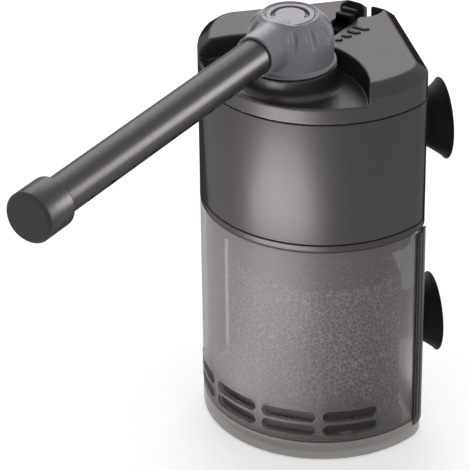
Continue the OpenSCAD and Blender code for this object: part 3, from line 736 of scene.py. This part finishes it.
def lid_field(x, y, z):
    """The lid's shell, with its recess, boss, notch, slit and lever slot."""
    depth = plan_depth(x, y)
    slope = (SLOPE_W * (z - CREASE_Z) - SLOPE_H * depth) / math.hypot(SLOPE_W, SLOPE_H)
    outer = smooth_max(smooth_max(-depth, slope, CREASE_EDGE), z - TOP_Z, TOP_EDGE)
    floor_z = RIM_Z - DISH_DEPTH * smoothstep(depth, DISH_FROM, DISH_TO)
    recess = smooth_max(np.hypot(x, y - RECESS_Y) - RECESS_R, floor_z - z, DISH_FILLET)
    outer = smooth_max(outer, -recess, RECESS_EDGE)
    from_outlet = np.hypot(x, y - OUTLET_Y)
    boss = smooth_max(from_outlet - BOSS_R, z - (KNOB_Z - BOSS_GAP), FINE_EDGE)
    outer = smooth_min(outer, boss, BOSS_FILLET)
    notch = np.maximum(np.hypot(x, y - NOTCH_Y) - NOTCH_R, y - NOTCH_BACK)
    notch = np.maximum(notch, NOTCH_FLOOR - z)
    outer = smooth_max(outer, -notch, FINE_EDGE)
    slit = np.maximum(np.maximum(np.abs(x) - SLIT_HALF, NOTCH_BACK - 1 - y), NOTCH_FLOOR - z)
    outer = smooth_max(outer, -slit, SLIT_EDGE)
    shell = np.maximum(outer, -(outer + LID_WALL))
    slot = np.maximum(np.maximum(np.abs(x) - SLOT_HALF, SLOT_FRONT - y), y - NOTCH_Y)
    slot = np.maximum(slot, SLOT_FLOOR - z)
    shell = smooth_max(shell, -slot, FINE_EDGE)
    shell = np.maximum(shell, RISER_HOLE_R - from_outlet)
    seam = SEAM_IN - depth
    shell = np.where(z < LID_Z + SEAM_H, np.maximum(shell, seam), shell)
    return np.maximum(shell, LID_Z - z)


LID_STEP = 0.45


def make_lid():
    verts, faces = isosurface(
        lid_field, (-BODY_R, -BODY_R, LID_Z), (BODY_R, BACK_D, TOP_Z), LID_STEP
    )
    new_piece("lid_shell", verts, faces, "housing_plastic", "head", ["lid"], 40)


def make_housing():
    profile = rounded(
        [(SEAM_IN, HOUSING_Z), (SEAM_IN, HOUSING_Z + SEAM_H), (0, HOUSING_Z + SEAM_H), (0, LID_Z),
         (HOUSING_WALL, LID_Z), (HOUSING_WALL, HOUSING_Z)],
        [0, 0, SEAM_EDGE_R, SEAM_EDGE_R, 0, 0],
    )
    new_piece("housing_shell", *loft(profile), "housing_plastic", "head", ["motor_housing"])


def make_collar():
    low = CANISTER_TOP + SEAM_H
    profile = rounded(
        [(-COLLAR_PROUD, low), (-COLLAR_PROUD, HOUSING_Z), (SEAM_IN, HOUSING_Z), (SEAM_IN, low)],
        [SEAM_EDGE_R, SEAM_EDGE_R, 0, 0],
    )
    new_piece("collar_band", *loft(profile), "housing_plastic", "head")


def make_base():
    """The bottom cap as a closed tray, and a dark band in the seam above it: painted shade in the
    groove.
    """
    top = BASE_TOP - SEAM_H
    outer = rounded(
        [(BASE_CHAMFER, 0), (0, BASE_CHAMFER), (0, top), (SEAM_IN, top), (SEAM_IN, BASE_TOP),
         (CANISTER_WALL, BASE_TOP), (CANISTER_WALL, BASE_FLOOR)],
        [0.2, 0.3, SEAM_EDGE_R, 0, 0, 0.3, 0],
    )
    rings = [at_height(outline(inset), z) for inset, z in outer]
    n = len(rings[0])
    faces = ring_faces(n, len(rings), closed=False)
    last = (len(rings) - 1) * n
    faces.append(tuple(range(n - 1, -1, -1)))
    faces.append(tuple(last + i for i in range(n)))
    base = new_piece("base_shell", np.concatenate(rings), faces, "smoky_clear", "canister_body",
                     ["base_cap"])
    # The lighter copy of the smoky plastic: painted light on the base
    base.data.materials[0] = MATERIALS["smoky_base_lit"]
    # A thin dark ring at the bottom of the seam groove, in the rubber's dark material: painted shade
    shade_out, shade_in = 0.3, 0.6
    seam_shade = loft([(shade_out, top), (shade_out, BASE_TOP), (shade_in, BASE_TOP), (shade_in, top)])
    new_piece("base_seal", *seam_shade, "seal_rubber", "canister_body")


# ---------------------------------------------------------------- outlet


def knob_field(x, y, z):
    """The outlet's skin, with z from the knob's underside and the spout along -Y."""
    r = np.hypot(x, y)
    swell = KNOB_R - DOME_R
    q = np.maximum(r - DOME_R, 0) / swell
    p = np.maximum(z - KNOB_STRAIGHT, 0) / KNOB_RISE
    norm = np.sqrt(q * q + p * p) + 1e-9
    steep = np.sqrt((q / swell) ** 2 + (p / KNOB_RISE) ** 2) / norm + 1e-9
    dome = (norm - 1) / np.maximum(steep, 1 / KNOB_RISE)
    dome = np.maximum(dome, -z)
    flange = smooth_max(r - KNOB_FLANGE_R, np.maximum(z - FLANGE_H, -z), 0.4)
    body = smooth_min(dome, flange, 0.8)
    theta = math.radians(FLUTE_THETA)
    normal = math.atan2(math.sin(theta) / KNOB_RISE, math.cos(theta) / swell)
    out = DOME_R + swell * math.cos(theta) + (FLUTE_R - FLUTE_CUT) * math.cos(normal)
    up = KNOB_STRAIGHT + KNOB_RISE * math.sin(theta) + (FLUTE_R - FLUTE_CUT) * math.sin(normal)
    for i in range(FLUTES):
        a = math.radians(-90 + FLUTE_FREE / 2 + i * (360 - FLUTE_FREE) / (FLUTES - 1))
        radial = x * math.cos(a) + y * math.sin(a) - out
        across = -x * math.sin(a) + y * math.cos(a)
        lift = radial * math.cos(normal) + (z - up) * math.sin(normal)
        flute = np.hypot(lift, across) - FLUTE_R
        body = smooth_max(body, -flute, FLUTE_EDGE)
    ring = np.hypot(r - RING_R, z - (KNOB_H - 0.4)) - RING_WIRE_R
    body = smooth_min(body, ring, 0.4)
    pocket = np.maximum(r - CAP_R - CAP_PLAY, KNOB_H - POCKET_DEPTH - z)
    body = smooth_max(body, -pocket, POCKET_EDGE)
    taper = SPOUT_TAPER * np.clip((SPOUT_LEN + y) / SPOUT_LEN, 0, 1)
    spout = smooth_max(np.hypot(x, z - SPOUT_Z) - SPOUT_R - taper, -y - SPOUT_LEN, 0.5)
    spout = smooth_max(spout, y + SPOUT_END_Y, SPOUT_END_BLEND)
    body = smooth_min(body, spout, SPOUT_BLEND)
    socket = np.maximum(np.hypot(x, z - SPOUT_Z) - SOCKET_R, y + SPOUT_LEN - SOCKET_DEPTH)
    return np.maximum(body, -socket)


KNOB_STEP = 0.3


def make_knob():
    """The domed outlet with its spout, and the stem below that turns in the lid."""
    reach = math.ceil(KNOB_FLANGE_R)
    verts, faces = isosurface(
        knob_field, (-reach, -SPOUT_LEN - 0.5, 0), (reach, reach, KNOB_H + 1.4), KNOB_STEP
    )
    verts = verts + [0, OUTLET_Y, KNOB_Z]
    stem = lathe(
        [(0, -STEM_LEN), (STEM_R - 0.2, -STEM_LEN), (STEM_R, 0.3 - STEM_LEN), (STEM_R, 0.5), (0, 0.5)],
        (0, OUTLET_Y, KNOB_Z), (0, 0, 1), (1, 0, 0),
    )
    new_piece("outlet_skin", *joined((verts, faces), stem), "knob_plastic", "outlet",
              ["outlet_knob"], 40)


def cap_field(x, y, z):
    """The round cap in the knob's top, with z from the knob's underside."""
    r = np.hypot(x, y)
    top = KNOB_H - CAP_SUNK
    disc = smooth_max(r - CAP_R, np.maximum(z - top, top - CAP_T - z), 0.35)
    turn = np.degrees(np.arctan2(y, x))
    away = np.abs((turn - ARC_MID + 180) % 360 - 180)
    arc = np.maximum(np.abs(r - ARC_R) - ARC_HALF_W, np.radians(away - ARC_REACH) * r)
    return smooth_max(disc, -np.maximum(arc, top - ARC_DEPTH - z), 0.2)


CAP_STEP = 0.22


def make_knob_cap():
    reach = CAP_R + 0.4
    verts, faces = isosurface(
        cap_field, (-reach, -reach, KNOB_H - 1.5), (reach, reach, KNOB_H + 0.3), CAP_STEP
    )
    new_piece("knob_cap_skin", verts + [0, OUTLET_Y, KNOB_Z], faces, "knob_plastic", "outlet",
              ["knob_cap"], 40)


def make_end_cap():
    """The spray bar's end cap, turned about the bar's axis from its face inwards."""
    axis_r = 0.01
    profile = rounded(
        [(END_CAP_R - 0.9, 0), (END_CAP_R, -1.0), (END_CAP_R, -END_CAP_LEN),
         (END_CAP_BORE_R, -END_CAP_LEN), (END_CAP_BORE_R, -END_CAP_FACE_T),
         (axis_r, -END_CAP_FACE_T), (axis_r, 0)],
        [0.5, 0.6, 0.9, 0.2, 0, 0, 0],
    )
    start = (0, OUTLET_Y - BAR_REACH, BAR_Z)
    new_piece("end_cap_skin", *lathe(profile, start, (0, -1, 0), closed=True), "tube_plastic", "bar_cap",
              ["spray_end_cap"])


# ---------------------------------------------------------------- canister


def slot_outline(grow=0.0, steps=8):
    """An intake slot's outline as (along the wall, height) points."""
    r = SLOT_H / 2 + grow
    turns = np.linspace(-math.pi / 2, math.pi / 2, steps)
    right = [(SLOT_STRAIGHT + r * math.cos(a), r * math.sin(a)) for a in turns]
    return right + [(-x, -z) for x, z in right]


def slot_places():
    """Each intake slot's outward and sideways directions, and its height."""
    for row in (-1, 1):
        for column in (-1.5, -0.5, 0.5, 1.5):
            mid = column * SLOT_PITCH
            yield heading(mid), heading(mid + 90), SLOT_MID_Z + row * (SLOT_H + SLOT_WEB) / 2


def make_canister():
    """The clear wall with its recessed flats, and the intake slots cut through it."""
    wall = rounded(
        [(0, BASE_TOP), (0, CANISTER_TOP), (CANISTER_WALL, CANISTER_TOP), (CANISTER_WALL, BASE_TOP)],
        [0.3, 0.3, 0.3, 0],
    )
    rings = []
    for inset, z in wall:
        ring = outline(inset)
        flat = FLAT_D - FLAT_RECESS - inset
        over = np.maximum((np.abs(ring[:, 0]) + ring[:, 1]) / math.sqrt(2) - flat, 0)
        side = np.sign(ring[:, 0])
        ring = ring - np.c_[side * over, over] / math.sqrt(2)
        rings.append(at_height(ring, z))
    faces = ring_faces(len(rings[0]), len(rings))
    shell = new_piece("canister_shell", np.concatenate(rings), faces, "smoky_clear", "canister_body",
                      ["canister"])
    cutter = slot_cutter()
    cut = shell.modifiers.new("slots", "BOOLEAN")
    cut.operation = "DIFFERENCE"
    cut.object = cutter
    cut.solver = "EXACT"
    apply_modifiers(shell)
    bpy.data.objects.remove(cutter)
    shell.data.polygons.foreach_set("use_smooth", [True] * len(shell.data.polygons))
    shell.data.set_sharp_from_angle(angle=math.radians(35))


def apply_modifiers(obj):
    graph = bpy.context.evaluated_depsgraph_get()
    mesh = bpy.data.meshes.new_from_object(obj.evaluated_get(graph))
    obj.modifiers.clear()
    obj.data = mesh


def slot_cutter():
    """Straight prisms through the wall at the intake slots, as one mesh."""
    parts = []
    loop = slot_outline()
    beyond = 3
    for out, along, z in slot_places():
        verts = []
        for depth in (BODY_R - CANISTER_WALL - beyond, BODY_R + beyond):
            verts += [(*(out * depth + along * t), z + h) for t, h in loop]
        parts.append((verts, prism_faces(len(loop))))
    verts, faces = joined(*parts)
    mesh = bpy.data.meshes.new("slot_cutter")
    mesh.from_pydata((np.asarray(verts) * MM).tolist(), [], faces)
    obj = bpy.data.objects.new("slot_cutter", mesh)
    bpy.context.scene.collection.objects.link(obj)
    return obj


def make_slot_rims():
    """A fine rounded bead round each intake slot, on the canister's outer face."""
    sides = 8
    parts = []
    loop = slot_outline(BEAD_R, 12)
    n = len(loop)
    for out, along, z in slot_places():
        verts, faces = [], []
        for t, h in loop:
            at = np.append(out * math.sqrt(BODY_R**2 - t * t) + along * t, z + h)
            normal = np.append(at[:2] / np.linalg.norm(at[:2]), 0)
            inward = np.array([np.clip(t, -SLOT_STRAIGHT, SLOT_STRAIGHT) - t, -h])
            inward = inward / np.linalg.norm(inward)
            side = np.append(along * inward[0], inward[1])
            for k in range(sides):
                a = 2 * math.pi * k / sides
                verts.append(at + BEAD_R * (math.cos(a) * normal + math.sin(a) * side))
        for i in range(n):
            for k in range(sides):
                j, up = (i + 1) % n, (k + 1) % sides
                faces.append((i * sides + k, j * sides + k, j * sides + up, i * sides + up))
        parts.append((verts, faces))
    new_piece("slot_rims", *joined(*parts), "smoky_clear", "canister_body", smooth_angle=180)


def make_slot_shade_sheets():
    """A dark sheet close behind each intake slot: painted shade that darkens the slots."""
    parts = []
    overlap = 0.3
    loop = slot_outline(overlap, 12)
    n = len(loop)
    half = n // 2
    front = BODY_R - CANISTER_WALL - SHADE_SHEET_GAP
    for out, along, z in slot_places():
        verts = []
        for r in (front, front - SHADE_SHEET_T):
            verts += [(*(out * math.sqrt(r**2 - t * t) + along * t), z + h) for t, h in loop]
        faces = ring_faces(n, 2, closed=False)
        for base, turn in ((0, 1), (n, -1)):
            faces += [(base + i, base + i + 1, base + n - 2 - i, base + n - 1 - i)[::turn]
                      for i in range(half - 1)]
        parts.append((verts, faces))
    new_piece("slot_screens", *joined(*parts), "rail_plastic", "canister_body")


# Corner rails: how far they stand out and in, their angles, and the tongue over the base
RAIL_OUT = 0.6
RAIL_IN = 1.0
RAIL_FROM = 81.8
RAIL_GROOVES = (86.4, 97.1)
RAIL_GROOVE_DEPTH = 0.65
RAIL_GROOVE_SPREAD = 1.6
RAIL_BACK = 32.0
RAIL_TONGUE_Z = 5.7


def prism(loop, low, high, flipped):
    """A plan outline drawn up from one height to another."""
    verts = np.concatenate([at_height(loop, z) for z in (low, high)])
    faces = prism_faces(len(loop))
    return verts, [f[::-1] for f in faces] if flipped else faces


def rail_radius(h):
    """The rail's outer radius about the shoulder's centre, with its two grooves."""
    grooves = sum(math.exp(-((h - g) / RAIL_GROOVE_SPREAD) ** 2) for g in RAIL_GROOVES)
    return SHOULDER_R + RAIL_OUT - RAIL_GROOVE_DEPTH * grooves


def make_rail(side, name, node):
    """The ribbed strip on one rear corner of the canister."""
    low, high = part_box(node)[0].z / MM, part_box(node)[1].z / MM
    corner = (BODY_R - SHOULDER_R) * heading(SHOULDER_AT)
    normal, along = np.array([1, 1]) / math.sqrt(2), np.array([1, -1]) / math.sqrt(2)
    flat = FLAT_D - FLAT_RECESS
    last = 135 - math.degrees(math.asin((RAIL_BACK - corner @ along) / (SHOULDER_R + RAIL_OUT)))
    inner = 135 - math.degrees(math.acos((flat - corner @ normal) / (SHOULDER_R - RAIL_IN)))
    outer = [corner + rail_radius(h) * heading(h) for h in np.linspace(RAIL_FROM, last, 60)]
    outer.append(flat * normal + RAIL_BACK * along)
    back = np.linspace(inner, RAIL_FROM, 12)
    outer += [corner + (SHOULDER_R - RAIL_IN) * heading(h) for h in back]
    strip = prism(np.array(outer) * [side, 1], low, high, side < 0)
    sweep = np.linspace(RAIL_FROM, last, 30)
    tongue_in = 0.05
    skin = [
        corner + (SHOULDER_R + out) * heading(h)
        for out, turn in ((RAIL_OUT, 1), (tongue_in, -1)) for h in sweep[::turn]
    ]
    tongue = prism(np.array(skin) * [side, 1], RAIL_TONGUE_Z, low, side < 0)
    new_piece(name, *joined(strip, tongue), "rail_plastic", "canister_body", [node], 40)


# ---------------------------------------------------------------- sponge


def cell_noise(points, size, seed):
    """Distances to the nearest and second nearest seed of a jittered lattice, in cell sizes."""
    at = points / size
    cell = np.floor(at).astype(np.int64)
    best = np.full(len(points), 9.0)
    second = np.full(len(points), 9.0)
    for dx in (-1, 0, 1):
        for dy in (-1, 0, 1):
            for dz in (-1, 0, 1):
                c = cell + [dx, dy, dz]
                h = (c[:, 0] * 73856093) ^ (c[:, 1] * 19349663) ^ (c[:, 2] * 83492791) ^ seed
                jitter = np.stack([((h * m) % 1009) / 1009.0 for m in (7919, 104729, 1299709)], 1)
                d = np.linalg.norm(c + jitter - at, axis=1)
                second = np.minimum(second, np.maximum(d, best))
                best = np.minimum(best, d)
    return best, second


SPONGE_STEP = 0.55
SPONGE_INSET = 10.0
SPONGE_FLAT_IN = -2.7
SPONGE_EDGE = 1.5
SPONGE_HOLE_R = 9.1
SPONGE_HOLE_Y = -1.0
TOP_RINGS = 36
PORE = 1.9
FINE_PORE = PORE * 0.55
PORE_DEPTH = 0.8


def make_sponge():
    """The sponge's block with rounded edges, its hole, and real pores pressed into its skin."""
    low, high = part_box("filter_sponge")[0].z / MM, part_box("filter_sponge")[1].z / MM
    edge = SPONGE_EDGE
    plan = outline(SPONGE_INSET, SPONGE_FLAT_IN)
    length = np.r_[0, np.cumsum(np.linalg.norm(np.roll(plan, -1, 0) - plan, axis=1))]
    count = int(length[-1] / SPONGE_STEP)
    closed = np.r_[plan, plan[:1]]
    stops = np.linspace(0, length[-1], count, endpoint=False)
    even = np.stack([np.interp(stops, length, closed[:, a]) for a in (0, 1)], 1)
    tangent = np.roll(even, -1, 0) - np.roll(even, 1, 0)
    out = np.stack([tangent[:, 1], -tangent[:, 0]], 1)
    out /= np.linalg.norm(out, axis=1)[:, None]
    centre = np.array([0, SPONGE_HOLE_Y])
    rings, normals = [], []
    turn = np.linspace(0, math.pi / 2, 4)

    def add_edge(a, z, way):
        rings.append(at_height(even - out * edge * (1 - math.cos(a)), z + way * edge * math.sin(a)))
        normals.append(at_height(out * math.cos(a), way * math.sin(a)))

    for a in turn[::-1]:
        add_edge(a, low + edge, -1)
    for z in np.arange(low + edge, high - edge, SPONGE_STEP)[1:]:
        rings.append(at_height(even, z))
        normals.append(at_height(out, 0.0))
    for a in turn[1:]:
        add_edge(a, high - edge, 1)
    border = rings[-1][:, :2]
    angle = np.arctan2(border[:, 1] - centre[1], border[:, 0] - centre[0])
    inner = centre + SPONGE_HOLE_R * np.stack([np.cos(angle), np.sin(angle)], 1)
    for t in np.linspace(0, 1, TOP_RINGS)[1:]:
        rings.append(at_height(border * (1 - t) + inner * t, high))
        normals.append(np.tile([0, 0, 1.0], (count, 1)))
    rings.append(at_height(inner, low))
    normals.append(np.zeros((count, 3)))
    verts = np.concatenate(rings)
    normal = np.concatenate(normals)
    best, second = cell_noise(verts, PORE, 11)
    pit = smoothstep(second - best, 0.02, 0.45)
    fine_best, fine_second = cell_noise(verts, FINE_PORE, 5)
    pit = np.clip(0.75 * pit + 0.35 * smoothstep(fine_second - fine_best, 0.0, 0.5), 0, 1)
    verts = verts - normal * (pit * PORE_DEPTH)[:, None]
    m = len(rings)
    faces = []
    for r in range(m - 1):
        a = r * count + np.arange(count)
        b = r * count + (np.arange(count) + 1) % count
        faces.append(np.stack([a, b, b + count, a + count], 1))
    bottom = np.arange(count)
    last = (m - 1) * count + np.arange(count)
    faces.append(np.stack([np.roll(bottom, -1), bottom, last, np.roll(last, -1)], 1))
    new_piece("sponge_block", verts, np.concatenate(faces), "sponge_foam", "sponge",
              ["filter_sponge"], 180)


# ---------------------------------------------------------------- small pieces


def make_cup(side, distance, z, name, node):
    """A suction cup on one flat, as (radius, height) points from its neck over the rim to its inside."""
    profile = [
        (0.0, 0.0), (CUP_NECK_R - 0.5, 0.0), (CUP_NECK_R, 0.25), (CUP_NECK_R + 0.2, 1.0), (9.6, 2.2),
        (10.9, 4.0), (12.2, 5.8), (13.5, 7.5), (14.5, 8.7), (CUP_R - 0.2, 9.15), (CUP_R, 9.4),
        (CUP_R - 0.15, CUP_DEPTH), (14.4, CUP_DEPTH - 0.05), (12.6, 9.1), (10.2, 8.5), (7.5, 8.0),
        (4.5, 7.65), (2.0, 7.5), (0.0, 7.45),
    ]
    normal = Vector((side, 1, 0)).normalized()
    along = Vector((side, -1, 0)).normalized()
    foot = normal * distance + along * CUP_SHIFT + Vector((0, 0, z))
    new_piece(name, *lathe(profile, foot, normal), "cup_rubber",
              "head" if z > LID_Z / 2 else "canister_body", [node], 45)


def stroke(points, width, low, high):
    """A flat-topped stroke of even width along a line of plan points."""
    points = [np.array(p, float) for p in points]
    left, right = [], []
    for i, p in enumerate(points):
        a = points[max(i - 1, 0)]
        b = points[min(i + 1, len(points) - 1)]
        d = (b - a) / np.linalg.norm(b - a)
        n = np.array([-d[1], d[0]]) * width / 2
        left.append(p + n)
        right.append(p - n)
    loop = left + right[::-1]
    n = len(loop)
    verts = [(*p, low) for p in loop] + [(*p, high) for p in loop]
    faces = [(i, n + i, n + (i + 1) % n, (i + 1) % n) for i in range(n)]
    faces += [tuple(range(n)), tuple(range(2 * n - 1, n - 1, -1))]
    return verts, faces


def make_marks():
    """The dark flow marks beside the lever's slot, each with a hooked end."""
    parts = []
    for i in range(MARKS):
        y = MARK_Y - MARK_PITCH * i
        end = MARK_X + MARK_LEN - MARK_SHORTER * i
        line = [(MARK_X, y), (end - 0.8, y), (end, y + 0.45), (end + 0.45, y + 1.5)]
        parts.append(stroke(line, MARK_W, TOP_Z - MARK_SUNK, TOP_Z + MARK_PROUD))
    new_piece("flow_marks", *joined(*parts), "lever_plastic", "head")


def rounded_block(low, high, radius):
    """A box with rounded edges, in millimetres."""
    bm = bmesh.new()
    bmesh.ops.create_cube(bm, size=1.0)
    low, high = Vector(low), Vector(high)
    for v in bm.verts:
        v.co = Vector([(high[i] + low[i]) / 2 + v.co[i] * (high[i] - low[i]) for i in range(3)])
    bmesh.ops.bevel(bm, geom=list(bm.edges), offset=radius, segments=3, affect="EDGES", profile=0.5)
    verts = [tuple(v.co) for v in bm.verts]
    faces = [[v.index for v in f.verts] for f in bm.faces]
    bm.free()
    return verts, faces


def make_lever():
    """The flow lever: a block with a raised finger ridge at the back, on its hidden carriage."""
    low, high = [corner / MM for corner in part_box("flow_lever")]
    half = SLOT_HALF - LEVER_PLAY
    front, back = LEVER_FRONT, LEVER_BACK
    top = TOP_Z - LID_WALL - 0.3
    ridge_w, lip_w = 2.0, 1.2
    parts = [
        rounded_block((-half, front, top - 0.1), (half, back, high.z - 0.9), 0.35),
        rounded_block((-half, back - ridge_w, top + 1), (half, back, high.z), 0.4),
        rounded_block((-half, front, top + 1), (half, front + lip_w, high.z - 0.5), 0.3),
        rounded_block((low.x, low.y, top - CARRIAGE_T), (high.x, CARRIAGE_BACK, top), 0.2),
        rounded_block((-TONGUE_HALF, low.y + 1, low.z), (TONGUE_HALF, TONGUE_BACK, top - 1.5), 0.2),
    ]
    new_piece("lever_block", *joined(*parts), "lever_plastic", "flow", ["flow_lever"])


def main():
    make_camera()
    make_world()
    make_floor()
    bpy.context.scene.view_settings.view_transform = "Standard"
    dress_frame()
    make_lid()
    make_housing()
    make_collar()
    make_base()
    make_knob()
    make_knob_cap()
    make_end_cap()
    make_canister()
    make_slot_rims()
    make_slot_shade_sheets()
    make_rail(1, "rail_right", "corner_rail_right")
    make_rail(-1, "rail_left", "corner_rail_left")
    make_sponge()
    high, low = FLAT_D + HIGH_HOLDER_T, FLAT_D - FLAT_RECESS + LOW_HOLDER_T
    for side, word in ((1, "right"), (-1, "left")):
        make_cup(side, high, CUP_HIGH_Z, f"cup_upper_{word}", f"suction_cup_upper_{word}")
        make_cup(side, low, CUP_LOW_Z, f"cup_lower_{word}", f"suction_cup_lower_{word}")
    make_marks()
    make_lever()
    make_lamps()


main()
